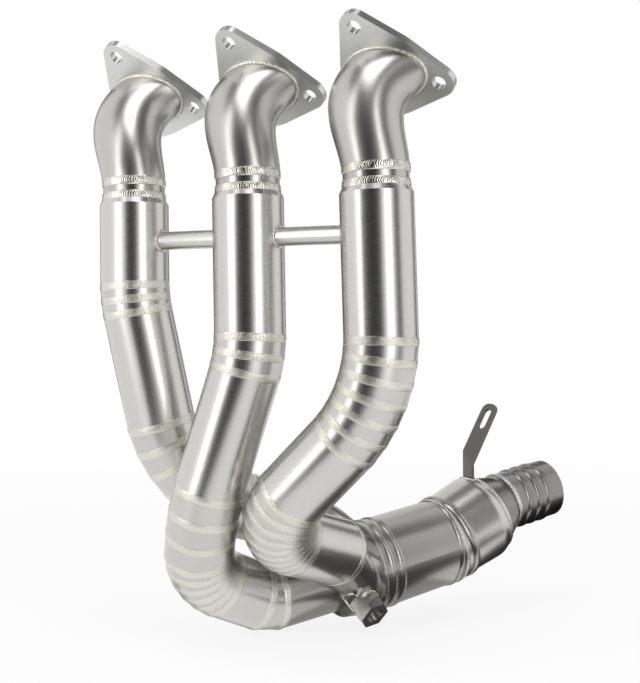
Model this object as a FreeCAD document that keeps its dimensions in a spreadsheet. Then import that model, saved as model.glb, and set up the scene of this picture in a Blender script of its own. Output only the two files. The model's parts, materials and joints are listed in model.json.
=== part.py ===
import FreeCAD, Part
import math
import os

# Three-into-one exhaust header in titanium tube.
# Frame: millimetres, X along the row of ports, Y rearward, Z up.
# Origin: centre of the middle port on its gasket face.

Vec = FreeCAD.Vector
doc = FreeCAD.newDocument("exhaust_header")
sheet = doc.addObject("Spreadsheet::Sheet", "Sizes")

SIZES = [
    ("port_pitch", 86.2, "distance between neighbouring ports"),
    ("flange_tilt", 40.0, "port axis below horizontal, degrees"),
    ("plate_thick", 5.0, "port flange plate"),
    ("stud_radius", 33.0, "stud holes from the port centre"),
    ("stud_angle", 104.0, "first stud hole from the row direction, degrees"),
    ("stud_hole", 8.4, "clearance hole for an M8 stud"),
    ("ear_radius", 9.0, "rounding of each flange corner"),
    ("flange_radius", 27.5, "round middle of the flange"),
    ("port_wide", 52.0, "oval stub at the flange, along the row"),
    ("port_tall", 35.0, "oval stub at the flange, across the row"),
    ("neck_od", 38.6, "lower end of the stub"),
    ("stub_reach", 25.0, "how far the stub follows the port axis"),
    ("stub_drop", 22.0, "how far the stub follows the pipe axis"),
    ("wall", 1.2, "wall of every tube"),
    ("collar_step", 0.6, "collar below the neck, on the radius"),
    ("collar_long", 9.2, "collar length"),
    ("shoulder_long", 4.5, "rounded shoulder at the top of the upper tube"),
    ("pipe_od", 42.0, "primary pipe"),
    ("left_neck_x", -72.8, "left pipe, weld under the stub"),
    ("left_neck_y", -34.8, "left pipe, weld under the stub"),
    ("left_neck_z", -59.2, "left pipe, weld under the stub"),
    ("left_knee_x", -70.2, "left pipe, upper bend"),
    ("left_knee_y", -38.6, "left pipe, upper bend"),
    ("left_knee_z", -129.7, "left pipe, upper bend"),
    ("left_heel_x", -55.5, "left pipe, lower bend"),
    ("left_heel_y", -20.0, "left pipe, lower bend"),
    ("left_heel_z", -248.0, "left pipe, lower bend"),
    ("left_toe_x", -8.0, "left pipe, joint into the merge"),
    ("left_toe_y", 38.0, "left pipe, joint into the merge"),
    ("left_toe_z", -269.0, "left pipe, joint into the merge"),
    ("left_knee_bend", 98.0, "left pipe, upper bend radius"),
    ("left_heel_bend", 80.0, "left pipe, lower bend radius"),
    ("centre_neck_x", 9.3, "centre pipe, weld under the stub"),
    ("centre_neck_y", -31.3, "centre pipe, weld under the stub"),
    ("centre_neck_z", -58.2, "centre pipe, weld under the stub"),
    ("centre_knee_x", 13.4, "centre pipe, upper bend"),
    ("centre_knee_y", -36.6, "centre pipe, upper bend"),
    ("centre_knee_z", -162.9, "centre pipe, upper bend"),
    ("centre_shin_x", -16.8, "centre pipe, first lower bend"),
    ("centre_shin_y", -45.2, "centre pipe, first lower bend"),
    ("centre_shin_z", -257.6, "centre pipe, first lower bend"),
    ("centre_heel_x", -32.2, "centre pipe, second lower bend"),
    ("centre_heel_y", -29.2, "centre pipe, second lower bend"),
    ("centre_heel_z", -297.5, "centre pipe, second lower bend"),
    ("centre_toe_x", -11.7, "centre pipe, bend into the merge"),
    ("centre_toe_y", 12.6, "centre pipe, bend into the merge"),
    ("centre_toe_z", -316.9, "centre pipe, bend into the merge"),
    ("centre_knee_bend", 84.0, "centre pipe, upper bend radius"),
    ("centre_shin_bend", 92.0, "centre pipe, first lower bend radius"),
    ("centre_heel_bend", 34.7, "centre pipe, second lower bend radius"),
    ("centre_toe_bend", 40.0, "centre pipe, radius into the merge"),
    ("right_neck_x", 93.1, "right pipe, weld under the stub"),
    ("right_neck_y", -27.2, "right pipe, weld under the stub"),
    ("right_neck_z", -59.2, "right pipe, weld under the stub"),
    ("right_knee_x", 99.4, "right pipe, upper bend"),
    ("right_knee_y", -32.7, "right pipe, upper bend"),
    ("right_knee_z", -187.8, "right pipe, upper bend"),
    ("right_heel_x", 19.4, "right pipe, lower bend"),
    ("right_heel_y", -40.5, "right pipe, lower bend"),
    ("right_heel_z", -265.6, "right pipe, lower bend"),
    ("right_toe_x", 31.5, "right pipe, joint into the merge"),
    ("right_toe_y", 27.7, "right pipe, joint into the merge"),
    ("right_toe_z", -286.8, "right pipe, joint into the merge"),
    ("right_knee_bend", 84.0, "right pipe, upper bend radius"),
    ("right_heel_bend", 33.9, "right pipe, lower bend radius"),
    ("mouth_x", 25.7, "centre of the merge mouth"),
    ("mouth_y", 60.5, "centre of the merge mouth"),
    ("mouth_z", -303.3, "centre of the merge mouth"),
    ("heading", 26.0, "collector heading from straight rearward, degrees"),
    ("rise", 9.4, "collector rise rearward, degrees"),
    ("collector_od", 58.0, "collector at the merge mouth"),
    ("collector_rear_od", 56.4, "collector at its rear bead"),
    ("collector_long", 68.0, "merge mouth to the rear bead"),
    ("merge_nose_od", 52.8, "front of the merge cone"),
    ("merge_nose_long", 17.0, "length of the merge cone"),
    ("left_seat", 102.0, "place of the left branch in the mouth, degrees"),
    ("centre_seat", 206.0, "place of the centre branch in the mouth, degrees"),
    ("right_seat", 18.0, "place of the right branch in the mouth, degrees"),
    ("bead_high", 0.9, "height of a rolled bead"),
    ("bead_wide", 5.0, "width of a rolled bead"),
    ("front_bead_gap", 7.0, "spacing of the front beads"),
    ("shell_tilt", 13.5, "shell turned up against the collector, degrees"),
    ("shell_long", 40.0, "rear bead to the shell weld"),
    ("shell_crown", 0.9, "swell of the shell at its rear corner"),
    ("shell_mouth_od", 53.0, "shell at its weld"),
    ("cone_long", 15.0, "reducer cone"),
    ("outlet_od", 38.5, "outlet tube"),
    ("outlet_long", 39.0, "outlet tube"),
    ("outlet_bead_gap", 8.5, "spacing of the outlet beads"),
    ("cross_od", 11.0, "balance tubes between the pipes"),
    ("cross_drop", -95.0, "height of the balance tubes"),
    ("bracket_wide", 16.0, "hanger strip"),
    ("bracket_thick", 3.0, "hanger strip"),
    ("bracket_stand", 18.0, "upright leg of the hanger"),
    ("bracket_arm", 36.0, "leaning leg of the hanger"),
    ("bracket_lean", 38.0, "leaning leg from upright, degrees"),
    ("bracket_lead", 4.0, "hanger ahead of the shell weld"),
    ("slot_wide", 7.0, "slot in the hanger"),
    ("slot_long", 17.0, "slot in the hanger"),
    ("slot_edge", 4.5, "metal left beyond the slot"),
    ("bung_flats", 17.0, "sensor bung across flats"),
    ("bung_long", 14.0, "sensor bung"),
    ("bung_thread", 12.0, "thread of the sensor bung"),
    ("bung_pitch", 1.25, "pitch of that thread"),
    ("bung_place", -11.0, "bung along the collector from the mouth"),
    ("bung_below", 34.0, "bung below the side of the merge, degrees"),
]
for row, (alias, value, meaning) in enumerate(SIZES, start=1):
    sheet.set("A%d" % row, alias)
    sheet.set("B%d" % row, repr(value))
    sheet.setAlias("B%d" % row, alias)
    sheet.set("C%d" % row, meaning)
doc.recompute()

NODES = []


def size(alias):
    return float(sheet.get(alias))


def sine(angle):
    return math.sin(math.radians(angle))


def cosine(angle):
    return math.cos(math.radians(angle))


def point(stem):
    return Vec(size(stem + "_x"), size(stem + "_y"), size(stem + "_z"))


def unit(vector):
    return Vec(vector).normalize()


def turned(direction, side=None):
    """Rotation that lays Z along a direction and X as near as it can to a side."""
    z_axis = unit(direction)
    if side is None:
        side = Vec(1, 0, 0) if abs(z_axis.x) < 0.9 else Vec(0, 1, 0)
    y_axis = unit(z_axis.cross(side))
    x_axis = y_axis.cross(z_axis)
    return FreeCAD.Rotation(x_axis, y_axis, z_axis, "ZXY")


def add_shape(label, shape):
    """A piece whose shape is worked out from the sheet."""
    item = doc.addObject("Part::Feature", label)
    item.Label = label
    item.Shape = shape
    item.Placement = shape.Placement
    NODES.append(item)
    return item


def add_round(kind, label, base, direction, bindings):
    """A primitive bound to the sheet, set on a point along a direction."""
    item = doc.addObject(kind, label)
    item.Label = label
    item.Placement = FreeCAD.Placement(base, turned(direction))
    for name, formula in bindings.items():
        item.setExpression(name, formula)
    return item


def add_cut(label, base, tool):
    item = doc.addObject("Part::Cut", label)
    item.Label = label
    item.Base = base
    item.Tool = tool
    NODES.append(item)
    return item


def beyond(spot, normal):
    """Block that fills everything on the far side of a plane."""
    reach = 6 * size("pipe_od")
    block = Part.makeBox(2 * reach, 2 * reach, reach, Vec(-reach, -reach, 0))
    block.Placement = FreeCAD.Placement(spot, turned(normal))
    return block


def rod(start, end, radius, over=0.0):
    line = unit(end - start)
    long = (end - start).Length + 2 * over
    return Part.makeCylinder(radius, long, start - line * over, line)


def pipe_piece(start, end, front, back, outer, inner):
    """Straight tube between two points, trimmed by a plane at each end."""
    over = 1.2 * outer
    piece = rod(start, end, outer, over).cut(rod(start, end, inner, over + 1))
    piece = piece.cut(beyond(start, front * -1))
    return piece.cut(beyond(end, back))


# Directions shared by the pieces

half_pitch_count = (-1, 0, 1)
pipe_r = size("pipe_od") / 2
bore_r = pipe_r - size("wall")
port_out = Vec(0, -cosine(size("flange_tilt")), -sine(size("flange_tilt")))
port_up = Vec(0, -sine(size("flange_tilt")), cosine(size("flange_tilt")))
row = Vec(1, 0, 0)
mouth = point("mouth")
flow = Vec(
    sine(size("heading")) * cosine(size("rise")),
    cosine(size("heading")) * cosine(size("rise")),
    sine(size("rise")),
)
abeam = Vec(cosine(size("heading")), -sine(size("heading")), 0)
above = abeam.cross(flow)
seat_r = (size("collector_od") - size("pipe_od")) / 2


def seat(name):
    angle = size(name + "_seat")
    return mouth + (abeam * cosine(angle) + above * sine(angle)) * seat_r


# Port flanges: three rounded corners round a round middle, oval port, three stud holes


def teardrop(corner, corner_r, middle_r):
    """Corner circle and middle circle joined by their common tangents."""
    reach = corner.Length
    along = unit(corner)
    across = Vec(-along.y, along.x, 0)
    lean = math.acos(max(-1.0, min(1.0, (middle_r - corner_r) / reach)))
    outline = []
    for side in (1, -1):
        touch = along * math.cos(lean) + across * (side * math.sin(lean))
        outline.append((touch * middle_r, corner + touch * corner_r))
    loop = [outline[0][0], outline[0][1], outline[1][1], outline[1][0], outline[0][0]]
    return Part.Face(Part.makePolygon(loop)).extrude(Vec(0, 0, size("plate_thick")))


def oval(wide, tall):
    """Ellipse wire on XY with its long side along X."""
    if wide >= tall:
        return Part.Wire(Part.Ellipse(Vec(0, 0, 0), wide / 2, tall / 2).toShape())
    edge = Part.Ellipse(Vec(0, 0, 0), tall / 2, wide / 2).toShape()
    edge.rotate(Vec(0, 0, 0), Vec(0, 0, 1), 90)
    return Part.Wire(edge)


def flange_shape(port):
    thick = size("plate_thick")
    plate = Part.makeCylinder(size("flange_radius"), thick)
    for turn in (0, 120, 240):
        angle = size("stud_angle") + turn
        corner = Vec(cosine(angle), sine(angle), 0) * size("stud_radius")
        plate = plate.fuse(Part.makeCylinder(size("ear_radius"), thick, corner))
        plate = plate.fuse(teardrop(corner, size("ear_radius"), size("flange_radius")))
    plate = plate.removeSplitter()
    for turn in (0, 120, 240):
        angle = size("stud_angle") + turn
        corner = Vec(cosine(angle), sine(angle), -1) * 1.0
        corner = Vec(corner.x * size("stud_radius"), corner.y * size("stud_radius"), -1)
        plate = plate.cut(Part.makeCylinder(size("stud_hole") / 2, thick + 2, corner))
    gap = 2 * size("wall")
    port_hole = Part.Face(oval(size("port_wide") - gap, size("port_tall") - gap))
    port_hole.translate(Vec(0, 0, -1))
    plate = plate.cut(port_hole.extrude(Vec(0, 0, thick + 2)))
    plate.Placement = FreeCAD.Placement(port, turned(port_out, row))
    return plate


# Stubs: oval at the flange, bending down to a round neck


def stub_section(path, share, wide, tall, trim):
    """Oval across the stub at a share of the way down."""
    a, b, c, d = path
    rest = 1 - share
    spot = a * rest ** 3 + b * (3 * rest ** 2 * share) + c * (3 * rest * share ** 2)
    spot = spot + d * share ** 3
    way = (b - a) * rest ** 2 + (c - b) * (2 * rest * share) + (d - c) * share ** 2
    wire = oval(wide - 2 * trim, tall - 2 * trim)
    wire.Placement = FreeCAD.Placement(spot, turned(way, row))
    return wire


def stub_shape(port, neck, down):
    front = port + port_out * size("plate_thick")
    path = (front, front + port_out * size("stub_reach"), neck - down * size("stub_drop"), neck)
    solids = []
    for trim in (0.0, size("wall")):
        wires = []
        for step in range(6):
            share = step / 5.0
            blend = (1 - share) ** 1.6
            wide = size("neck_od") + (size("port_wide") - size("neck_od")) * blend
            swell = 2.6 * math.sin(math.pi * share)
            tall = size("neck_od") + (size("port_tall") - size("neck_od")) * blend + swell
            wires.append(stub_section(path, share, wide, tall, trim))
        solids.append(Part.makeLoft(wires, True, False))
    outer, inner = solids
    return outer.cut(inner)


# Pipe runs: straight tubes joined by mitred pie cuts


def mitres(corner_in, corner, corner_out, radius, count):
    """Mitre points of a bend that is made from straight cuts of one angle."""
    way_in = unit(corner - corner_in)
    way_out = unit(corner_out - corner)
    sweep = way_in.getAngle(way_out)
    start = corner - way_in * (radius * math.tan(sweep / 2))
    axis = unit(way_in.cross(way_out))
    toward = axis.cross(way_in)
    centre = start + toward * radius
    step = sweep / count
    reach = radius / math.cos(step / 2)
    found = []
    for index in range(count):
        angle = (index + 0.5) * step
        arm = way_in * math.sin(angle) - toward * math.cos(angle)
        found.append(centre + arm * reach)
    return found


def run_points(corners, bends):
    """Every point where the run changes direction, with the first and last point."""
    spots = [corners[0]]
    for index, (radius, count) in enumerate(bends, start=1):
        before, here, after = corners[index - 1], corners[index], corners[index + 1]
        if count == 1:
            spots.append(here)
        else:
            spots.extend(mitres(before, here, after, radius, count))
    spots.append(corners[-1])
    return spots


def plane_between(before, here, after):
    return unit(unit(here - before) + unit(after - here))


def build_run(side, corners, bends, names):
    """Pieces of one pipe between the collar and the merge, named in order."""
    spots = run_points(corners, bends)
    planes = []
    for index, spot in enumerate(spots):
        if index == 0:
            planes.append(unit(spots[1] - spots[0]))
        elif index == len(spots) - 1:
            planes.append(unit(spots[-1] - spots[-2]))
        else:
            planes.append(plane_between(spots[index - 1], spot, spots[index + 1]))
    for index, name in enumerate(names):
        start, end = spots[index], spots[index + 1]
        piece = pipe_piece(start, end, planes[index], planes[index + 1], pipe_r, bore_r)
        if index == 0:
            piece = shouldered(piece, start, unit(end - start))
        add_shape(side + "_" + name, piece)
    return spots, planes


def shouldered(piece, start, way):
    """Top of the upper tube drawn in to the size of the collar."""
    tall = size("shoulder_long")
    neck_r = size("neck_od") / 2 - size("collar_step")
    neck_bore = neck_r - size("wall")
    shoulder = Part.makeCone(neck_r, pipe_r, tall, start, way)
    shoulder = shoulder.cut(Part.makeCone(neck_bore, bore_r, tall, start, way))
    straight = piece.cut(beyond(start + way * tall, way * -1))
    return straight.fuse(shoulder)


def cuts(place, count):
    return ["%s_pie_cut_%d" % (place, index) for index in range(1, count + 1)]


PIPES = {}
for index, side in enumerate(("left", "centre", "right")):
    port = row * (size("port_pitch") * half_pitch_count[index])
    neck = point(side + "_neck")
    knee = point(side + "_knee")
    down = unit(knee - neck)
    add_shape(side + "_port_flange", flange_shape(port))
    add_shape(side + "_port_stub", stub_shape(port, neck, down))
    outside = add_round(
        "Part::Cylinder", side + "_collar_outside", neck, down,
        {"Radius": "Sizes.neck_od / 2 - Sizes.collar_step", "Height": "Sizes.collar_long"})
    inside = add_round(
        "Part::Cylinder", side + "_collar_bore", neck, down,
        {"Radius": "Sizes.neck_od / 2 - Sizes.collar_step - Sizes.wall", "Height": "Sizes.collar_long"})
    add_cut(side + "_collar", outside, inside)
    PIPES[side] = neck + down * size("collar_long")

left_end = seat("left")
left_corners = [
    PIPES["left"], point("left_knee"), point("left_heel"), point("left_toe"), left_end]
left_bends = [(size("left_knee_bend"), 3), (size("left_heel_bend"), 7), (0.0, 1)]
left_names = ["upper_tube"] + cuts("upper", 2) + ["middle_tube"]
left_names = left_names + cuts("lower", 6) + ["lower_tube"]
left_run = build_run("left", left_corners, left_bends, left_names)

centre_end = seat("centre")
centre_corners = [
    PIPES["centre"], point("centre_knee"), point("centre_shin"),
    point("centre_heel"), point("centre_toe"), centre_end]
centre_bends = [
    (size("centre_knee_bend"), 3), (size("centre_shin_bend"), 3),
    (size("centre_heel_bend"), 6), (size("centre_toe_bend"), 2)]
centre_names = ["upper_tube"] + cuts("upper", 2) + ["middle_tube"]
centre_names = centre_names + cuts("lower", 8) + ["lower_tube", "merge_pie_cut"]
centre_run = build_run("centre", centre_corners, centre_bends, centre_names)

right_end = seat("right")
right_corners = [
    PIPES["right"], point("right_knee"), point("right_heel"), point("right_toe"), right_end]
right_bends = [(size("right_knee_bend"), 7), (size("right_heel_bend"), 9), (0.0, 1)]
right_names = ["upper_tube"] + cuts("upper", 6) + ["middle_tube"]
right_names = right_names + cuts("lower", 8) + ["lower_tube"]
right_run = build_run("right", right_corners, right_bends, right_names)


# Balance tubes between neighbouring pipes, ends fitted round both pipes


def at_height(side, height):
    top = point(side + "_neck")
    low = point(side + "_knee")
    share = (height - top.z) / (low.z - top.z)
    return top + (low - top) * share


for first, second in (("left", "centre"), ("centre", "right")):
    start = at_height(first, size("cross_drop"))
    end = at_height(second, size("cross_drop"))
    outer = size("cross_od") / 2
    tube = rod(start, end, outer).cut(rod(start, end, outer - size("wall"), 1))
    for side in (first, second):
        tube = tube.cut(rod(point(side + "_neck"), point(side + "_knee"), pipe_r))
    add_shape(first + "_balance_tube", tube)


# Merge: three branches running together into one cone, hollow inside


def branch(spots, planes, end, radius, over):
    """Last stretch of a pipe from its joint to the mouth of the merge."""
    start = spots[-2]
    piece = rod(start, end, radius, over)
    return piece.cut(beyond(start, planes[-2] * -1))


def merge_shape():
    nose = size("merge_nose_long")
    front = mouth - flow * nose
    nose_r = size("merge_nose_od") / 2
    mouth_r = size("collector_od") / 2
    body = Part.makeCone(nose_r, mouth_r, nose, front, flow)
    wall = size("wall")
    cave = Part.makeCone(nose_r - wall, mouth_r - wall, nose, front, flow)
    cave = cave.cut(beyond(front + flow * wall, flow * -1))
    over = 2.0 * pipe_r
    bores = []
    joints = [
        (left_run[0], left_run[1], left_end),
        (centre_run[0], centre_run[1], centre_end),
        (right_run[0], right_run[1], right_end)]
    for spots, planes, end in joints:
        body = body.fuse(branch(spots, planes, end, pipe_r, over))
        bores.append(branch(spots, planes, end, bore_r, over))
    for spots, planes, end in joints:
        pipe_end = rod(spots[-3], spots[-2], pipe_r, over).cut(beyond(spots[-2], planes[-2]))
        body = body.cut(pipe_end.cut(beyond(spots[-3], planes[-3] * -1)))
    body = body.cut(beyond(mouth, flow))
    body = body.cut(cave)
    for bore in bores:
        body = body.cut(bore)
    solids = sorted(body.Solids, key=lambda solid: solid.Volume)
    return solids[-1]


bung_way = abeam * cosine(size("bung_below")) - above * sine(size("bung_below"))
bung_seat_r = size("collector_od") / 2 - 4.0
bung_base = mouth + flow * size("bung_place") + bung_way * bung_seat_r
bung_prism = doc.addObject("Part::Prism", "bung_hexagon")
bung_prism.Label = "bung_hexagon"
bung_prism.Polygon = 6
bung_prism.setExpression("Circumradius", "Sizes.bung_flats / 2 / cos(30 deg)")
bung_prism.setExpression("Height", "Sizes.bung_long")
bung_prism.Placement = FreeCAD.Placement(bung_base, turned(bung_way, flow))
bung_bore = add_round(
    "Part::Cylinder", "bung_bore", bung_base - bung_way, bung_way,
    {"Radius": "(Sizes.bung_thread - 1.0825 * Sizes.bung_pitch) / 2",
     "Height": "Sizes.bung_long + 2"})
add_cut("lambda_bung", bung_prism, bung_bore)
doc.recompute()

merge = merge_shape()
merge = merge.cut(bung_prism.Shape)
merge = sorted(merge.Solids, key=lambda solid: solid.Volume)[-1]
add_shape("merge_collector", merge)


# Turned and rolled tubes on the collector axis


def bead_line(start_r, end_r, long, beads):
    """Outline from front to rear with a rounded swell at every bead."""
    half = size("bead_wide") / 2
    high = size("bead_high")
    slope = (end_r - start_r) / long
    edges = []
    last = Vec(start_r, 0, 0)
    for spot in beads:
        rises = Vec(start_r + slope * (spot - half), 0, spot - half)
        crest = Vec(start_r + slope * spot + high, 0, spot)
        falls = Vec(start_r + slope * (spot + half), 0, spot + half)
        if (rises - last).Length > 0.01:
            edges.append(Part.makeLine(last, rises))
        edges.append(Part.Arc(rises, crest, falls).toShape())
        last = falls
    edges.append(Part.makeLine(last, Vec(end_r, 0, long)))
    return edges


def turned_tube(edges, inner_front, inner_rear, base, way):
    """Solid of revolution: a given outer line and a plain conical bore."""
    outer_first = edges[0].Vertexes[0].Point
    outer_last = edges[-1].Vertexes[-1].Point
    front = Vec(inner_front, 0, outer_first.z)
    rear = Vec(inner_rear, 0, outer_last.z)
    loop = edges + [
        Part.makeLine(outer_last, rear), Part.makeLine(rear, front),
        Part.makeLine(front, outer_first)]
    face = Part.Face(Part.Wire(loop))
    solid = face.revolve(Vec(0, 0, 0), Vec(0, 0, 1), 360)
    solid.Placement = FreeCAD.Placement(base, turned(way, abeam))
    return solid


wall = size("wall")
front_r = size("collector_od") / 2
rear_r = size("collector_rear_od") / 2
long = size("collector_long")
first_bead = size("bead_wide") / 2 + 0.5
front_beads = [first_bead + size("front_bead_gap") * index for index in range(3)]
tube = turned_tube(
    bead_line(front_r, rear_r, long, front_beads + [long - size("bead_wide") / 2 - 0.5]),
    front_r - wall, rear_r - wall, mouth, flow)
hinge = mouth + flow * long
shell_way = flow * cosine(size("shell_tilt")) + above * sine(size("shell_tilt"))
seam = unit(flow + shell_way)
over = 12.0
joint_cut = beyond(hinge, seam)
extension = Part.makeCylinder(rear_r, over, hinge, flow).cut(
    Part.makeCylinder(rear_r - wall, over, hinge, flow))
tube = tube.fuse(extension).cut(joint_cut).removeSplitter()
add_shape("collector_tube", tube)

shell_long = size("shell_long")
shell_back_r = size("shell_mouth_od") / 2
crown_at = shell_long - 5.0
crown_r = rear_r + size("shell_crown")
back = -12.0
outer_line = [
    Part.makeLine(Vec(rear_r, 0, back), Vec(rear_r, 0, 11.0)),
    Part.makeLine(Vec(rear_r, 0, 11.0), Vec(crown_r, 0, crown_at - 4)),
    Part.Arc(
        Vec(crown_r, 0, crown_at - 4), Vec(crown_r - 0.25, 0, crown_at),
        Vec(shell_back_r, 0, shell_long)).toShape(),
]
inner_line = [
    Part.makeLine(Vec(shell_back_r, 0, shell_long), Vec(shell_back_r - wall, 0, shell_long)),
    Part.makeLine(
        Vec(shell_back_r - wall, 0, shell_long), Vec(crown_r - wall - 0.6, 0, crown_at - 2)),
    Part.makeLine(
        Vec(crown_r - wall - 0.6, 0, crown_at - 2), Vec(rear_r - wall, 0, 9.0)),
    Part.makeLine(Vec(rear_r - wall, 0, 9.0), Vec(rear_r - wall, 0, back)),
    Part.makeLine(Vec(rear_r - wall, 0, back), Vec(rear_r, 0, back)),
]
shell_face = Part.Face(Part.Wire(outer_line + inner_line))
shell = shell_face.revolve(Vec(0, 0, 0), Vec(0, 0, 1), 360)
shell.Placement = FreeCAD.Placement(hinge, turned(shell_way, abeam))
shell = shell.cut(beyond(hinge, seam * -1))
add_shape("collector_shell", shell)

cone_base = hinge + shell_way * shell_long
cone_long = size("cone_long")
outlet_r = size("outlet_od") / 2
cone_end = cone_base + shell_way * cone_long
reach = 12.0
cone_solid = Part.makeCone(shell_back_r, outlet_r, cone_long, cone_base, shell_way)
cone_solid = cone_solid.fuse(Part.makeCylinder(outlet_r, reach, cone_end, shell_way))
cone_hole = Part.makeCone(shell_back_r - wall, outlet_r - wall, cone_long, cone_base, shell_way)
cone_hole = cone_hole.fuse(Part.makeCylinder(outlet_r - wall, reach + 1, cone_end, shell_way))
cone = cone_solid.cut(cone_hole)
elbow_at = cone_end + shell_way * (outlet_r * math.tan(math.radians(size("shell_tilt")) / 2))
cone = cone.cut(beyond(elbow_at, seam))
add_shape("reducer_cone", cone)

outlet_long = size("outlet_long")
outlet_beads = [4.5 + outlet_r * 0.25 + size("outlet_bead_gap") * index for index in range(3)]
outlet = turned_tube(
    bead_line(outlet_r, outlet_r, outlet_long, outlet_beads),
    outlet_r - wall, outlet_r - wall, elbow_at, flow)
outlet_back = Part.makeCylinder(outlet_r, reach, elbow_at - flow * reach, flow).cut(
    Part.makeCylinder(outlet_r - wall, reach, elbow_at - flow * reach, flow))
outlet = outlet.fuse(outlet_back).cut(beyond(elbow_at, seam * -1)).removeSplitter()
add_shape("outlet_tube", outlet)


# Hanger bracket: bent strip on top of the shell, slot in its arm

stand = size("bracket_stand")
arm = size("bracket_arm")
lean = size("bracket_lean")
thick = size("bracket_thick")
wide = size("bracket_wide")
sink = 3.0
foot = Vec(0, 0, -sink)
bend_inside = Vec(0, 0, stand)
arm_way = Vec(0, sine(lean), cosine(lean))
arm_face = Vec(0, -cosine(lean), sine(lean))
tip = bend_inside + arm_way * arm
corner_shift = thick * math.tan(math.radians(lean) / 2)
bend_outside = Vec(0, thick, stand - corner_shift)
profile = [
    foot, bend_inside, tip, tip - arm_face * thick, bend_outside,
    Vec(0, thick, -sink), foot]
strip = Part.Face(Part.makePolygon(profile)).extrude(Vec(wide, 0, 0))
strip.translate(Vec(-wide / 2, 0, 0))
round_at = tip - arm_way * (wide / 2)
end_block = Part.makeBox(wide + 2, wide, 4 * thick, Vec(-wide / 2 - 1, 0, -2 * thick))
end_block = end_block.cut(Part.makeCylinder(wide / 2, 4 * thick, Vec(0, 0, -2 * thick)))
arm_turn = FreeCAD.Rotation(Vec(1, 0, 0), arm_way, arm_face, "XZY")
end_block.Placement = FreeCAD.Placement(round_at, arm_turn)
strip = strip.cut(end_block)
slot_r = size("slot_wide") / 2
slot_far = -size("slot_edge") - slot_r
slot_near = slot_far - (size("slot_long") - 2 * slot_r)
slot = Part.makeCylinder(slot_r, 4 * thick, Vec(0, slot_far, -2 * thick))
slot = slot.fuse(Part.makeCylinder(slot_r, 4 * thick, Vec(0, slot_near, -2 * thick)))
slot = slot.fuse(Part.makeBox(
    2 * slot_r, slot_far - slot_near, 4 * thick, Vec(-slot_r, slot_near, -2 * thick)))
slot.Placement = FreeCAD.Placement(tip, arm_turn)
strip = strip.cut(slot)
shell_up = above * cosine(size("shell_tilt")) - flow * sine(size("shell_tilt"))
bracket_base = hinge + shell_way * (size("shell_long") - size("bracket_lead")) + shell_up * crown_r
upright = unit(Vec(0, 0, 1) - flow * 0.0)
level = unit(Vec(flow.x, flow.y, 0))
strip.Placement = FreeCAD.Placement(bracket_base, FreeCAD.Rotation(abeam, level, upright, "XZY"))
full_shell = Part.makeCylinder(crown_r - 0.2, shell_long + 20, hinge, shell_way)
strip = strip.cut(doc.getObject("collector_shell").Shape).cut(full_shell)
strip = sorted(strip.Solids, key=lambda solid: solid.Volume)[-1]
add_shape("hanger_bracket", strip)

doc.recompute()

for item in doc.Objects:
    if "Invalid" in item.State or "Error" in item.State:
        raise RuntimeError("object in error: " + item.Name)
for item in NODES:
    shape = item.Shape
    if shape.isNull() or not shape.isValid() or not shape.Solids:
        raise RuntimeError("bad shape: " + item.Label)

os.makedirs("parts", exist_ok=True)
for item in NODES:
    item.Shape.exportStep("parts/%s.step" % item.Label)
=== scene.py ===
import json
import math

import bmesh
import bpy
import numpy as np
from bpy.props import FloatProperty, FloatVectorProperty, PointerProperty, StringProperty
from mathutils import Matrix, Vector, noise
from mathutils.bvhtree import BVHTree
from mathutils.geometry import interpolate_bezier


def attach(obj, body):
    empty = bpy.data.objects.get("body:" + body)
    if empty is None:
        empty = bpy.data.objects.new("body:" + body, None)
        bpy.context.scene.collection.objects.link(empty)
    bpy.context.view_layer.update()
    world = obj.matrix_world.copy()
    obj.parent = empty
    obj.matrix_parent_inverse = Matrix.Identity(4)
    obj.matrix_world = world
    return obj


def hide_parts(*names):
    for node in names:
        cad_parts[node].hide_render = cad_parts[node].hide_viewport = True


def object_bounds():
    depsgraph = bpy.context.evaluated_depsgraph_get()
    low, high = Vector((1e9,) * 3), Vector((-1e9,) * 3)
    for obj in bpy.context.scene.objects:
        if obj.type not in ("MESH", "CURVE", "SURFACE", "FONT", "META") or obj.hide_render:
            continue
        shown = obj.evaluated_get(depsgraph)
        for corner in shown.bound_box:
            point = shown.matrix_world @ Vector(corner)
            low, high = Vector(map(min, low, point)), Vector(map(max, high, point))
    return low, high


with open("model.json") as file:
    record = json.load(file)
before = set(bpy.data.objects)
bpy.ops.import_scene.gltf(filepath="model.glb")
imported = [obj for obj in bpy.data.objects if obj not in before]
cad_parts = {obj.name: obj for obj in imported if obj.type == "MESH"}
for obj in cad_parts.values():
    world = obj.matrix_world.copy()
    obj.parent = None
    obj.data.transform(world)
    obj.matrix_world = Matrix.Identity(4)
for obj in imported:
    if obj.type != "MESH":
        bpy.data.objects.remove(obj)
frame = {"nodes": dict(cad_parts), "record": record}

bl_info = {
    "name": "Exhaust header dressing",
    "version": (1, 0, 0),
    "blender": (4, 5, 0),
    "location": "View3D > Sidebar > Header",
    "description": "Weld beads, finishes and studio for a three-into-one exhaust header",
    "category": "Object",
}

CAD_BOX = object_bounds()

MM = 0.001
WELD_LAY = "weld_millimetres"    # UV layer of the beads, in millimetres along and across
UP = Vector((0, 0, 1))
ROW = Vector((1, 0, 0))          # Along the row of ports

# How finely the round forms are drawn
RING_STEPS = 112
OVAL_STEPS = 128
FOOT_STEPS = 64
BEAD_POINTS = 10
STUB_RINGS = 29
STUB_POINTS = 72
HANGER_POINTS = 40
THREAD_STEPS = 24

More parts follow.
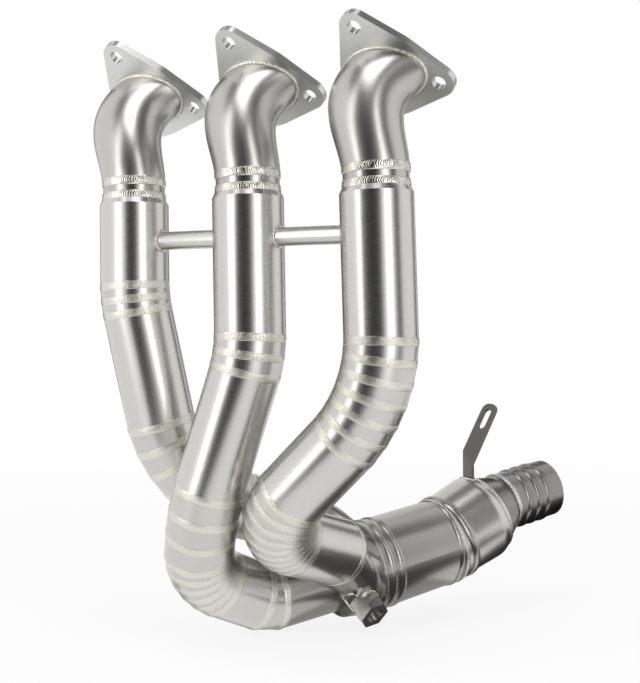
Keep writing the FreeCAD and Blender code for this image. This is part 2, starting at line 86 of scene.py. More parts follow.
# Pieces of each pipe from the port to the merge, as they are welded together
PIPES = {
    "left": (2, 6, ("lower_tube",)),
    "centre": (2, 8, ("lower_tube", "merge_pie_cut")),
    "right": (6, 8, ("lower_tube",)),
}


def pipe_names(side):
    """Names of one pipe's CAD pieces below its stub, from the collar to the merge."""
    upper, lower, ends = PIPES[side]
    names = ["collar", "upper_tube"]
    names += ["upper_pie_cut_%d" % index for index in range(1, upper + 1)]
    names += ["middle_tube"]
    names += ["lower_pie_cut_%d" % index for index in range(1, lower + 1)]
    names += list(ends)
    return [side + "_" + name for name in names]


# Reading the frame


def faces_of(name):
    """Centres, normals and areas of a CAD piece's triangles, in metres."""
    mesh = frame["nodes"][name].data
    count = len(mesh.polygons)
    centres = np.zeros(count * 3)
    normals = np.zeros(count * 3)
    areas = np.zeros(count)
    mesh.polygons.foreach_get("center", centres)
    mesh.polygons.foreach_get("normal", normals)
    mesh.polygons.foreach_get("area", areas)
    return centres.reshape(-1, 3), normals.reshape(-1, 3), areas


def points_of(name):
    """Vertices of a CAD piece, in metres."""
    mesh = frame["nodes"][name].data
    found = np.zeros(len(mesh.vertices) * 3)
    mesh.vertices.foreach_get("co", found)
    return found.reshape(-1, 3)


def tube_axis(name):
    """Middle, direction, outer radius and half length of a straight round piece.

    The normals of its wall lie across the axis, and the outer wall is fitted with a circle.
    """
    centres, normals, areas = faces_of(name)
    wall_lean = 0.04
    keep = np.ones(len(areas), bool)
    for _ in range(3):
        spread = (normals[keep] * areas[keep, None]).T @ normals[keep]
        way = np.linalg.eigh(spread)[1][:, 0]
        keep = np.abs(normals @ way) < wall_lean
    side = np.cross(way, (0.0, 0.0, 1.0) if abs(way[2]) < 0.9 else (1.0, 0.0, 0.0))
    side /= np.linalg.norm(side)
    other = np.cross(way, side)
    flat = np.stack([centres @ side, centres @ other], 1)
    middle = flat[keep].mean(0)
    turned_out = ((flat - middle) * np.stack([normals @ side, normals @ other], 1)).sum(1) > 0
    pick = keep & turned_out
    rows = np.column_stack([2 * flat[pick], np.ones(pick.sum())])
    answer = np.linalg.lstsq(rows, (flat[pick] ** 2).sum(1), rcond=None)[0]
    radius = math.sqrt(answer[2] + answer[0] ** 2 + answer[1] ** 2)
    along = points_of(name) @ way
    middle = side * answer[0] + other * answer[1] + way * (along.min() + along.max()) / 2
    half = (along.max() - along.min()) / 2
    return Vector(middle), Vector(way), radius, half


def tube_line(name, toward):
    """The same, with the direction turned to the side that a vector points to."""
    middle, way, radius, half = tube_axis(name)
    return middle, way if way.dot(toward) > 0 else -way, radius, half


def collector_line():
    """The same for the collector, with its direction toward the outlet."""
    return tube_line("collector_tube", mount("outlet")[0])


def outer_end(name, way):
    """Middle of the mitred end of a round tube, on the side that a direction points to."""
    middle, line, radius, _ = tube_line(name, way)
    skin = 0.3 * MM
    spots = [Vector(spot) - middle for spot in points_of(name)]
    runs = [
        spot.dot(line) for spot in spots
        if (spot - line * spot.dot(line)).length > radius - skin and spot.dot(line) > 0]
    return middle + line * (min(runs) + max(runs)) / 2


def front_end(name, way, origin):
    """Front end of a turned piece, as a point on a given axis."""
    low = min((Vector(spot) - origin).dot(way) for spot in points_of(name))
    return origin + way * low


def ring_radius(name, spot, way):
    """Outer radius of a turned piece at a plane across its axis."""
    found = [0.0]
    slack = 0.05 * MM
    for point in points_of(name):
        gap = Vector(point) - spot
        if abs(gap.dot(way)) < slack:
            found.append((gap - way * gap.dot(way)).length)
    return max(found)


def mount(name):
    """Place and direction of a mount of the record, in metres."""
    for row in frame["record"]["mounts"]:
        if row["name"] == name:
            return Vector(row["pos_m"]), Vector(row["axis"])
    raise RuntimeError("no mount " + name)


def surface_of(names):
    """Search tree over the surfaces of some CAD pieces."""
    spots, faces = [], []
    for name in names:
        mesh = frame["nodes"][name].data
        first = len(spots)
        spots += [vert.co.copy() for vert in mesh.vertices]
        faces += [tuple(first + index for index in face.vertices) for face in mesh.polygons]
    return BVHTree.FromPolygons(spots, faces)


def hanger_foot():
    """Middle of the hanger's foot and the direction across its leg."""
    spots = points_of("hanger_bracket")
    leg_part = 8 * MM
    leg = spots[spots[:, 2] < spots[:, 2].min() + leg_part]
    foot = (leg.min(0) + leg.max(0)) / 2
    rows = leg[:, :2] - foot[:2]
    side = np.linalg.eigh(rows.T @ rows)[1][:, 1]
    return Vector((foot[0], foot[1], leg[:, 2].min())), Vector((side[0], side[1], 0))


def crossing(first, second):
    """Point where two lines come nearest to each other."""
    (p, u), (q, v) = first, second
    gap = q - p
    lean = u.dot(v)
    below = 1 - lean * lean
    return p + u * ((gap.dot(u) - gap.dot(v) * lean) / below)


# Making pieces


def new_piece(name, bm, finish):
    """Turns a finished bmesh into a smooth piece of the object."""
    # Nothing stands out beyond the box of the solids
    for vert in bm.verts:
        vert.co = [
            min(max(value, least), most)
            for value, least, most in zip(vert.co, CAD_BOX[0], CAD_BOX[1])]
    mesh = bpy.data.meshes.new(name)
    bm.to_mesh(mesh)
    bm.free()
    mesh.shade_smooth()
    mesh.materials.append(bpy.data.materials[finish])
    piece = bpy.data.objects.new(name, mesh)
    bpy.context.scene.collection.objects.link(piece)
    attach(piece, "root")
    return piece


def new_weld(name, bm, finish="weld_titanium_port"):
    """Merges a bead's doubles, turns its faces outwards and makes it a piece."""
    bmesh.ops.remove_doubles(bm, verts=bm.verts, dist=1e-6)
    bmesh.ops.recalc_face_normals(bm, faces=bm.faces)
    return new_piece(name, bm, finish)


def new_bead():
    """Empty bmesh with the UV layer that the weld material reads."""
    bm = bmesh.new()
    bm.loops.layers.uv.new(WELD_LAY)
    return bm


def ring_mesh(bm, outline, steps, pitch_r):
    """Adds a closed outline of (height, run) points spun round Z, with UVs in millimetres."""
    ring = new_bead()
    layer = ring.loops.layers.uv[WELD_LAY]
    start = [ring.verts.new((pitch_r + high, 0.0, run)) for high, run in outline]
    edges = [ring.edges.new((a, b)) for a, b in zip(start, start[1:] + start[:1])]
    bmesh.ops.spin(
        ring, geom=start + edges, cent=(0, 0, 0), axis=(0, 0, 1), dvec=(0, 0, 0),
        angle=2 * math.pi, steps=steps, use_merge=True, use_duplicate=False)
    for face in ring.faces:
        middle = face.calc_center_median()
        turn = math.atan2(middle.y, middle.x)
        for loop in face.loops:
            here = loop.vert.co
            angle = math.atan2(here.y, here.x)
            if angle - turn > math.pi:
                angle -= 2 * math.pi
            if angle - turn < -math.pi:
                angle += 2 * math.pi
            loop[layer].uv = (angle * pitch_r / MM, here.z / MM)
    spare = bpy.data.meshes.new("spare_ring")
    ring.to_mesh(spare)
    ring.free()
    count = len(bm.verts)
    bm.from_mesh(spare)
    bpy.data.meshes.remove(spare)
    bm.verts.ensure_lookup_table()
    return bm.verts[count:]


def bead_outline(wide, high, deep):
    """Low crown with crisp shoulders; the underside sits inside the tube wall."""
    half = wide / 2
    shape = ((1.0, -0.2), (0.98, 0.25), (0.9, 0.5), (0.75, 0.68), (0.5, 0.86), (0.25, 0.96))
    outline = [(share_high * high, -share * half) for share, share_high in shape]
    outline.append((high, 0.0))
    outline += [(share_high * high, share * half) for share, share_high in reversed(shape)]
    tuck = half * 0.9
    outline += [(-deep, tuck), (-deep, -tuck)]
    return outline


def round_outline(bead):
    """Section of a fillet weld, as a circle with this radius."""
    turns = [2 * math.pi * index / BEAD_POINTS for index in range(BEAD_POINTS)]
    return [(bead * math.cos(angle), bead * math.sin(angle)) for angle in turns]


def weld_ring(bm, joint, before, after, radius, wide, high, seed):
    """Weld bead round the joint of two tubes, lying on both of them.

    Its width and crown wander a little round the pipe, as in hand-laid welds.
    """
    deep, wander, swell = 0.5 * MM, 0.10, 0.18
    verts = ring_mesh(bm, bead_outline(wide, high, deep), RING_STEPS, radius)
    way = (before + after).normalized()
    turn_axis = before.cross(after)
    if turn_axis.length < 1e-5:
        turn_axis = way.orthogonal()
    turn_axis.normalize()
    outward = turn_axis.cross(way).normalized()
    stretch = 1 / max(0.2, way.dot(after))
    for vert in verts:
        angle = math.atan2(vert.co.y, vert.co.x)
        high_here = math.hypot(vert.co.x, vert.co.y) - radius
        run = vert.co.z
        wobble = noise.noise(Vector((math.cos(angle) * 3.1, math.sin(angle) * 3.1, seed)))
        run *= 1 + wander * wobble
        ring = joint + outward * (math.cos(angle) * radius * stretch)
        ring += turn_axis * (math.sin(angle) * radius)
        line = after if run > 0 else before
        spoke = ring - joint
        spoke -= line * spoke.dot(line)
        spoke.normalize()
        crown = high_here * (1 + swell * wobble) if high_here > 0 else high_here
        vert.co = ring + line * run + spoke * crown


def landed_weld(bm, foot, way, side, spread, square, target, bead, seed):
    """Fillet weld round the foot of a boss, tube or strip, laid on the surface below it.

    spread holds the half sizes of the path across and along the side direction, and square
    is 1 for an oval path and smaller for one with corners.
    """
    above, reach, swell, flat = 12 * MM, 40 * MM, 0.25, 0.8
    pitch = (spread[0] + spread[1]) / 2
    verts = ring_mesh(bm, round_outline(bead), FOOT_STEPS, pitch)
    across = way.cross(side).normalized()
    for vert in verts:
        angle = math.atan2(vert.co.y, vert.co.x)
        high = math.hypot(vert.co.x, vert.co.y) - pitch
        run = vert.co.z
        part_a = math.copysign(abs(math.cos(angle)) ** square, math.cos(angle)) * spread[0]
        part_b = math.copysign(abs(math.sin(angle)) ** square, math.sin(angle)) * spread[1]
        spoke = (side * part_a + across * part_b)
        start = foot + way * above + spoke
        hit = target.ray_cast(start, -way, reach)[0]
        if hit is None:
            hit = target.find_nearest(foot + spoke)[0]
        wobble = noise.noise(Vector((math.cos(angle) * 4.0, math.sin(angle) * 4.0, seed)))
        grow = 1 + swell * wobble
        vert.co = hit + spoke.normalized() * high * grow + way * run * grow * flat


def port_bead(bm, centre, out, up, wide, tall, bead):
    """Fillet weld that follows the oval between a stub and its flange."""
    verts = ring_mesh(bm, round_outline(bead), OVAL_STEPS, wide / 2)
    row = up.cross(out)
    for vert in verts:
        angle = math.atan2(vert.co.y, vert.co.x)
        high = math.hypot(vert.co.x, vert.co.y) - wide / 2
        run = vert.co.z
        flat = Vector((math.cos(angle) * wide / 2, math.sin(angle) * tall / 2))
        lean = Vector((math.cos(angle) * tall, math.sin(angle) * wide)).normalized()
        flat += lean * high
        vert.co = centre + row * flat.x + up * flat.y + out * run


# Node helpers


def linear(code, alpha=1.0):
    """sRGB hex colour as linear numbers."""
    out = []
    for start in (1, 3, 5):
        value = int(code[start:start + 2], 16) / 255
        out.append(value / 12.92 if value <= 0.04045 else ((value + 0.055) / 1.055) ** 2.4)
    return (*out, alpha)


def add_node(tree, kind, values=None, links=None, **settings):
    """Adds one node with its settings, socket values and incoming links."""
    made = tree.nodes.new(kind)
    for key, value in settings.items():
        setattr(made, key, value)
    for socket, value in (values or {}).items():
        made.inputs[socket].default_value = value
    for socket, source in (links or {}).items():
        tree.links.new(source, made.inputs[socket])
    return made


def empty_material(name):
    """New material with no nodes, and its node tree."""
    made = bpy.data.materials.new(name)
    made.use_nodes = True
    made.node_tree.nodes.clear()
    return made, made.node_tree


def background_rays(tree):
    """1 for the rays that see the background as it is: camera, glossy and transmission rays."""
    path = add_node(tree, "ShaderNodeLightPath")
    seen = path.outputs["Is Camera Ray"]
    for kind in ("Is Glossy Ray", "Is Transmission Ray"):
        seen = add_node(
            tree, "ShaderNodeMath", None, {0: seen, 1: path.outputs[kind]},
            operation="MAXIMUM").outputs[0]
    return seen


def card_material(name, code):
    """Card or sheet of painted shade, of one even tone, which shows only as a reflection."""
    made, tree = empty_material(name)
    tone = add_node(tree, "ShaderNodeEmission", {"Color": linear(code), "Strength": 1.0})
    add_node(tree, "ShaderNodeOutputMaterial", None, {"Surface": tone.outputs[0]})
    return made


def metal_shader(tree, tones, drift, rough, relief):
    """Metal between two tones, shared out by a drift, with its roughness and relief."""
    light, dark = tones.split()
    tone = add_node(
        tree, "ShaderNodeMix", {6: linear(dark), 7: linear(light)},
        {0: drift.outputs["Fac"]}, data_type="RGBA")
    shader = add_node(
        tree, "ShaderNodeBsdfPrincipled", {"Metallic": 1.0},
        {"Base Color": tone.outputs[2], "Roughness": rough.outputs["Result"],
         "Normal": relief.outputs["Normal"]})
    add_node(tree, "ShaderNodeOutputMaterial", None, {"Surface": shader.outputs["BSDF"]})


def metal_finish(name, tones, rough, grain, bump=0.0004, spread=0.012, patch=14.0, way=None):
    """Metal whose tone drifts over patches and whose grain changes its roughness.

    tones holds the light and the dark hex colour, grain the size of the grain across and along
    the axis of the piece, and way is that axis where it isn't upright. grain, bump and patch
    are in millimetres. Real brushed grain is about 0.1 mm, too fine to show, so it is drawn
    as coarse as the render needs.
    """
    made, tree = empty_material(name)
    place = add_node(tree, "ShaderNodeTexCoord")
    turn = (way or UP).rotation_difference(UP).to_euler()
    laid = add_node(
        tree, "ShaderNodeMapping", {"Rotation": turn}, {"Vector": place.outputs["Object"]})
    drift = add_node(
        tree, "ShaderNodeTexNoise",
        {"Scale": 1 / (patch * MM), "Detail": 3.0, "Roughness": 0.55},
        {"Vector": place.outputs["Object"]})
    across, along = grain
    stretch = add_node(
        tree, "ShaderNodeMapping",
        {"Scale": (1 / (across * MM), 1 / (across * MM), 1 / (along * MM))},
        {"Vector": laid.outputs["Vector"]})
    streak = add_node(
        tree, "ShaderNodeTexNoise", {"Scale": 1.0, "Detail": 4.0, "Roughness": 0.6},
        {"Vector": stretch.outputs["Vector"]})
    rough_map = add_node(
        tree, "ShaderNodeMapRange",
        {"From Min": 0.25, "From Max": 0.75, "To Min": rough - spread, "To Max": rough + spread},
        {"Value": streak.outputs["Fac"]})
    relief = add_node(
        tree, "ShaderNodeBump", {"Strength": 1.0, "Distance": bump * MM},
        {"Height": streak.outputs["Fac"]})
    metal_shader(tree, tones, drift, rough_map, relief)
    return made


def weld_finish(name, tones, rough, ripple, bump, grit):
    """Weld bead: crescent ripples a set distance apart, small pits, straw and grey drift.

    ripple, bump and grit are in millimetres, as is the UV layer that the crescents follow.
    """
    bow_back, unrest, shake_mm, pit_mm, drift_mm = 0.22, 1.6, 2.2, 0.5, 9.0
    made, tree = empty_material(name)
    lay = add_node(tree, "ShaderNodeUVMap", uv_map=WELD_LAY)
    place = add_node(tree, "ShaderNodeTexCoord")
    parts = add_node(tree, "ShaderNodeSeparateXYZ", None, {"Vector": lay.outputs["UV"]})
    bow = add_node(
        tree, "ShaderNodeMath", None, {0: parts.outputs["Y"], 1: parts.outputs["Y"]},
        operation="MULTIPLY")
    bent = add_node(
        tree, "ShaderNodeMath", {1: bow_back}, {0: bow.outputs[0], 2: parts.outputs["X"]},
        operation="MULTIPLY_ADD")
    shake = add_node(
        tree, "ShaderNodeTexNoise", {"Scale": 1 / (shake_mm * MM), "Detail": 3.0},
        {"Vector": place.outputs["Object"]})
    loose = add_node(
        tree, "ShaderNodeMath", {1: unrest}, {0: shake.outputs["Fac"], 2: bent.outputs[0]},
        operation="MULTIPLY_ADD")
    phase = add_node(
        tree, "ShaderNodeMath", {1: 2 * math.pi / ripple}, {0: loose.outputs[0]},
        operation="MULTIPLY")
    wave = add_node(tree, "ShaderNodeMath", None, {0: phase.outputs[0]}, operation="SINE")
    waves = add_node(
        tree, "ShaderNodeBump", {"Strength": 1.0, "Distance": bump * MM},
        {"Height": wave.outputs[0]})
    pits = add_node(
        tree, "ShaderNodeTexNoise",
        {"Scale": 1 / (pit_mm * MM), "Detail": 2.0, "Roughness": 0.7},
        {"Vector": place.outputs["Object"]})
    relief = add_node(
        tree, "ShaderNodeBump", {"Strength": 1.0, "Distance": grit * MM},
        {"Height": pits.outputs["Fac"], "Normal": waves.outputs["Normal"]})
    drift = add_node(
        tree, "ShaderNodeTexNoise", {"Scale": 1 / (drift_mm * MM), "Detail": 3.0},
        {"Vector": place.outputs["Object"]})
    rough_map = add_node(
        tree, "ShaderNodeMapRange",
        {"From Min": 0.3, "From Max": 0.7, "To Min": rough - 0.03, "To Max": rough + 0.05},
        {"Value": shake.outputs["Fac"]})
    metal_shader(tree, tones, drift, rough_map, relief)


def dress(names, material):
    """Gives CAD pieces their material."""
    for name in names:
        mesh = frame["nodes"][name].data
        mesh.materials.clear()
        mesh.materials.append(material)


# Settings


class HeaderSizes(bpy.types.PropertyGroup):
    """Sizes of the pieces that are added to the solids"""
    weld_wide: FloatProperty(
        name="Weld width", description="Width of a weld bead on the primary pipes",
        default=4.8 * MM, unit="LENGTH")
    weld_high: FloatProperty(
        name="Weld crown", description="Height of a weld bead above the tube",
        default=0.22 * MM, unit="LENGTH")
    collar_wide: FloatProperty(
        name="Collar weld width", description="Width of the beads above and below a collar",
        default=5.8 * MM, unit="LENGTH")
    collar_weld: FloatProperty(
        name="Collar weld", description="Height of the fuller beads above and below a collar",
        default=0.75 * MM, unit="LENGTH")
    base_bead: FloatProperty(
        name="Stub bead", description="Radius of the weld bead between stub and flange",
        default=1.5 * MM, unit="LENGTH")
    port_wide: FloatProperty(
        name="Port width", description="Oval stub at the flange, along the row",
        default=52.0 * MM, unit="LENGTH")
    port_tall: FloatProperty(
        name="Port height", description="Oval stub at the flange, across the row",
        default=35.0 * MM, unit="LENGTH")
    plate_thick: FloatProperty(
        name="Flange plate", description="Thickness of the port flanges",
        default=5.0 * MM, unit="LENGTH")
    balance_od: FloatProperty(
        name="Balance tube", description="Diameter of the balance tubes",
        default=11.0 * MM, unit="LENGTH")
    small_bead: FloatProperty(
        name="Small bead",
        description="Radius of the welds round the boss, balance tubes and hanger",
        default=1.1 * MM, unit="LENGTH")
    boss_weld: FloatProperty(
        name="Boss weld", description="Radius of the path of the weld round the boss",
        default=8.2 * MM, unit="LENGTH")
    shell_bead: FloatProperty(
        name="Shell bead", description="Rolled bead of the shell behind its front weld",
        default=6.6 * MM, unit="LENGTH")
    bead_wide: FloatProperty(
        name="Rolled bead width", description="Width of the shell's rolled bead",
        default=5.0 * MM, unit="LENGTH")
    bead_high: FloatProperty(
        name="Rolled bead height", description="Height of the shell's rolled bead",
        default=0.9 * MM, unit="LENGTH")
    skirt_reach: FloatProperty(
        name="Skirt", description="How far the skirt of the merge reaches before the collector",
        default=17.0 * MM, unit="LENGTH")
    neck_od: FloatProperty(
        name="Neck", description="Diameter at the lower end of a stub",
        default=38.6 * MM, unit="LENGTH")
    stub_reach: FloatProperty(
        name="Stub reach", description="How far a stub follows the port axis",
        default=25.0 * MM, unit="LENGTH")
    stub_drop: FloatProperty(
        name="Stub drop", description="How far a stub follows the pipe axis",
        default=22.0 * MM, unit="LENGTH")
    stub_belly: FloatProperty(
        name="Stub belly", description="How far a stub swings out toward the end of the row",
        default=5.0 * MM, unit="LENGTH")
    stub_fullness: FloatProperty(
        name="Stub fullness", description="How much taller a stub is halfway down",
        default=2.6 * MM, unit="LENGTH")
    tube_wall: FloatProperty(
        name="Wall", description="Wall of the formed stubs", default=1.2 * MM, unit="LENGTH")
    hanger_wide: FloatProperty(
        name="Hanger width", description="Width of the hanger strip",
        default=12.2 * MM, unit="LENGTH")
    hanger_thick: FloatProperty(
        name="Hanger thickness", description="Thickness of the hanger strip",
        default=2.2 * MM, unit="LENGTH")
    hanger_stand: FloatProperty(
        name="Hanger leg", description="Height of the upright leg above the foot",
        default=15.0 * MM, unit="LENGTH")
    hanger_sink: FloatProperty(
        name="Hanger sink", description="How far the leg runs down into its weld",
        default=0.5 * MM, unit="LENGTH")
    hanger_arm: FloatProperty(
        name="Hanger arm", description="Length of the folded arm",
        default=41.0 * MM, unit="LENGTH")
    hanger_lean: FloatProperty(
        name="Hanger fold", description="Angle of the fold", subtype="ANGLE",
        default=math.radians(38))
    hanger_slant: FloatProperty(
        name="Fold slant", description="Slant of the fold line", subtype="ANGLE",
        default=math.radians(33))
    hanger_turn: FloatProperty(
        name="Hanger turn", description="Turn of the leg from square", subtype="ANGLE",
        default=math.radians(9))
    hanger_edge: FloatProperty(
        name="Hanger edge", description="Rounding of the edges of the strip",
        default=0.25 * MM, unit="LENGTH")
    slot_wide: FloatProperty(
        name="Slot width", description="Width of the slot", default=5.6 * MM, unit="LENGTH")
    slot_long: FloatProperty(
        name="Slot length", description="Length of the slot", default=14.6 * MM, unit="LENGTH")
    slot_edge: FloatProperty(
        name="Slot edge", description="Metal left beyond the slot",
        default=4.2 * MM, unit="LENGTH")
    thread_pitch: FloatProperty(
        name="Thread pitch", description="Pitch of the thread in the sensor boss",
        default=1.0 * MM, unit="LENGTH")
    ripple: FloatProperty(
        name="Ripple spacing", description="Distance between weld ripples, in millimetres",
        default=1.3)


class HeaderColours(bpy.types.PropertyGroup):
    """Light and dark tone of each finish, as sRGB hex"""
    tube: StringProperty(
        name="Tube", description="Tones of the brushed tube", default="#d3d2ce #cdccc8")
    pie_cut: StringProperty(
        name="Pie cuts", description="Tones of the dressed pie cuts", default="#d2d1cd #c8c7c2")
    stub: StringProperty(
        name="Stubs", description="Tones of the pressed stubs", default="#c9c8c4 #bfbeba")
    collar: StringProperty(
        name="Collars", description="Tones of the turned collars", default="#c4c3bf #b7b6b2")
    plate: StringProperty(
        name="Flanges", description="Tones of the milled plates", default="#dededc #d3d3d1")
    sheet: StringProperty(
        name="Merge and collector", description="Tones of the brushed sheet",
        default="#b6b4b0 #aba9a5")
    shell: StringProperty(
        name="Shell", description="Tones of the finer brushed shell", default="#d3d1cd #c9c7c3")
    cone: StringProperty(
        name="Cone and outlet", description="Tones of the cone and outlet",
        default="#9c9a97 #918f8c")
    strip: StringProperty(
        name="Hanger", description="Tones of the rolled strip", default="#716f6c #676562")
    boss: StringProperty(
        name="Boss", description="Tones of the turned boss", default="#dad9d5 #cfcecb")
    weld: StringProperty(
        name="Pipe welds", description="Tones of the flat welds", default="#e3e1d8 #d2d0c5")
    fillet: StringProperty(
        name="Fillet welds", description="Tones of the fuller welds", default="#e6e4da #d2cfc4")


class HeaderStudio(bpy.types.PropertyGroup):
    """Camera, lamps and floor"""
    camera_place: FloatVectorProperty(
        name="Camera", description="Where the camera stands", subtype="XYZ", unit="LENGTH",
        default=(0.4912, -0.7291, -0.1333))
    camera_turn: FloatProperty(
        name="Camera turn", description="Angle of the view round the object", subtype="ANGLE",
        default=math.radians(31.84))
    camera_drop: FloatProperty(
        name="Camera drop", description="Angle of the view below level", subtype="ANGLE",
        default=math.radians(1.54))
    camera_roll: FloatProperty(
        name="Camera roll", description="Roll of the view", subtype="ANGLE",
        default=math.radians(-0.62))
    lens: FloatProperty(
        name="Lens", description="Focal length in millimetres on a 36 mm sensor", default=76.1)
    floor_gap: FloatProperty(
        name="Floor gap", description="Floor below the lowest pipe", default=3 * MM,
        unit="LENGTH")
    right_power: FloatProperty(
        name="Right softbox", description="Power of the tall softbox on the right",
        default=3.5, unit="POWER")
    left_power: FloatProperty(
        name="Left softbox", description="Power of the tall softbox on the left",
        default=2.5, unit="POWER")
    top_power: FloatProperty(
        name="Top softbox", description="Power of the softbox above", default=3.0, unit="POWER")


# Operators


class HEADER_OT_pipe_welds(bpy.types.Operator):
    """Weld beads round every joint of the three pipes"""
    bl_idname = "header.pipe_welds"
    bl_label = "Pipe welds"

    def execute(self, context):
        sizes = context.scene.header_sizes
        collector_middle, flow, collector_r, collector_half = collector_line()
        mouth = collector_middle - flow * collector_half
        clear = 0.1 * MM
        for side in PIPES:
            bm = new_bead()
            crescents = new_bead()
            names = pipe_names(side)
            axes = [tube_axis(name) for name in names]
            ways = []
            for index, (middle, way, _, _) in enumerate(axes):
                if index + 1 < len(axes):
                    ahead = axes[index + 1][0] - middle
                else:
                    ahead = middle - axes[index - 1][0]
                ways.append(way if way.dot(ahead) > 0 else -way)
            # Fuller beads above and below the collar
            collar = axes[0]
            for end, seed in ((-1, 11.0), (1, 13.0)):
                weld_ring(
                    crescents, collar[0] + ways[0] * (collar[3] * end), ways[0], ways[0],
                    collar[2] + clear, sizes.collar_wide, sizes.collar_weld, seed)
            seed = 0.0
            for index in range(1, len(axes) - 1):
                here, after = axes[index], axes[index + 1]
                seed += 1.7
                if ways[index].dot(ways[index + 1]) > 0.9999:
                    joint = here[0] + ways[index] * here[3]
                else:
                    joint = crossing((here[0], ways[index]), (after[0], ways[index + 1]))
                weld_ring(
                    bm, joint, ways[index], ways[index + 1], min(here[2], after[2]),
                    sizes.weld_wide, sizes.weld_high, seed)
            # Joint into the merge: the branch runs on to its seat in the mouth
            joint = outer_end(names[-1], ways[-1])
            seat = joint - flow * (joint - mouth).dot(flow)
            inward = (seat - mouth).normalized() * (collector_r - axes[-1][2])
            branch = (mouth + inward - joint).normalized()
            weld_ring(
                bm, joint, ways[-1], branch, axes[-1][2],
                sizes.weld_wide, sizes.weld_high * 1.5, seed + 5)
            new_weld(side + "_pipe_welds", bm, "weld_titanium_tig")
            new_weld(side + "_collar_welds", crescents)
        return {"FINISHED"}


class HEADER_OT_collector_welds(bpy.types.Operator):
    """Weld beads of the collector, its cone and the outlet"""
    bl_idname = "header.collector_welds"
    bl_label = "Collector welds"

    def execute(self, context):
        sizes = context.scene.header_sizes
        middle, flow, _, half = collector_line()
        shell_middle, shell_way, shell_r, _ = tube_line("collector_shell", flow)
        outlet_middle, outlet_way, outlet_r, _ = tube_line("outlet_tube", flow)
        mouth = middle - flow * half
        hinge = crossing((middle, flow), (shell_middle, shell_way))
        cone = front_end("reducer_cone", shell_way, shell_middle)
        elbow = crossing((shell_middle, shell_way), (outlet_middle, outlet_way))
        mouth_r = ring_radius("collector_tube", mouth, flow)
        cone_r = ring_radius("reducer_cone", cone, shell_way)
        bm = new_bead()
        wide, high = sizes.weld_wide, sizes.weld_high
        before = mouth - flow * 0.4 * MM
        # Joint, directions of the two pieces, radius, shares of the pipe bead's width and crown
        for joint, first, second, radius, wider, higher, seed in (
                (before, flow, flow, mouth_r, 1.0, 1.6, 31.0),
                (hinge, flow, shell_way, shell_r, 0.6, 1.0, 33.0),
                (cone, shell_way, shell_way, cone_r, 0.7, 2.2, 35.0),
                (elbow, shell_way, outlet_way, outlet_r, 0.6, 1.6, 37.0)):
            weld_ring(bm, joint, first, second, radius, wide * wider, high * higher, seed)
        rolled = new_bead()
        weld_ring(
            rolled, hinge + shell_way * sizes.shell_bead, shell_way, shell_way,
            shell_r - 0.1 * MM, sizes.bead_wide, sizes.bead_high, 39.0)
        new_weld("shell_bead", rolled, "titanium_sheet_brushed")
        new_weld("collector_welds", bm, "weld_titanium_tig")
        return {"FINISHED"}


class HEADER_OT_port_beads(bpy.types.Operator):
    """Fillet welds between the stubs and their flanges"""
    bl_idname = "header.port_beads"
    bl_label = "Port beads"

    def execute(self, context):
        sizes = context.scene.header_sizes
        out = -mount("centre_port_bolts")[1]
        up = out.cross(ROW).normalized()
        for side in PIPES:
            port = mount(side + "_port_bolts")[0]
            bm = new_bead()
            port_bead(
                bm, port + out * sizes.plate_thick, out, up,
                sizes.port_wide, sizes.port_tall, sizes.base_bead)
            new_weld(side + "_port_bead", bm)
        return {"FINISHED"}


class HEADER_OT_small_welds(bpy.types.Operator):
    """Fillet welds of the balance tubes, the sensor boss and the hanger"""
    bl_idname = "header.small_welds"
    bl_label = "Small welds"

    def execute(self, context):
        sizes = context.scene.header_sizes
        bead = sizes.small_bead
        bm = new_bead()
        reach = sizes.balance_od / 2 + bead * 0.4
        back = 3 * MM
        for first, second in (("left", "centre"), ("centre", "right")):
            middle, way, _, half = tube_line(first + "_balance_tube", ROW)
            for side, toward in ((first, way), (second, -way)):
                target = surface_of([side + "_upper_tube"])
                foot = middle - toward * (half - back)
                landed_weld(
                    bm, foot, toward, toward.orthogonal().normalized(),
                    (reach, reach), 1.0, target, bead * 0.9, foot.x * 90)
        new_weld("balance_tube_welds", bm)

        bm = new_bead()
        place, way = mount("sensor_bung")
        landed_weld(
            bm, place, way, way.orthogonal().normalized(), (sizes.boss_weld, sizes.boss_weld),
            1.0, surface_of(["merge_collector"]), bead * 1.2, 51.0)
        new_weld("boss_weld", bm)

        bm = new_bead()
        foot, side = hanger_foot()
        half = sizes.hanger_wide / 2
        landed_weld(
            bm, foot, UP, side, (half + bead * 0.4, bead * 1.4), 0.55,
            surface_of(["collector_shell"]), bead, 57.0)
        new_weld("hanger_weld", bm)
        return {"FINISHED"}


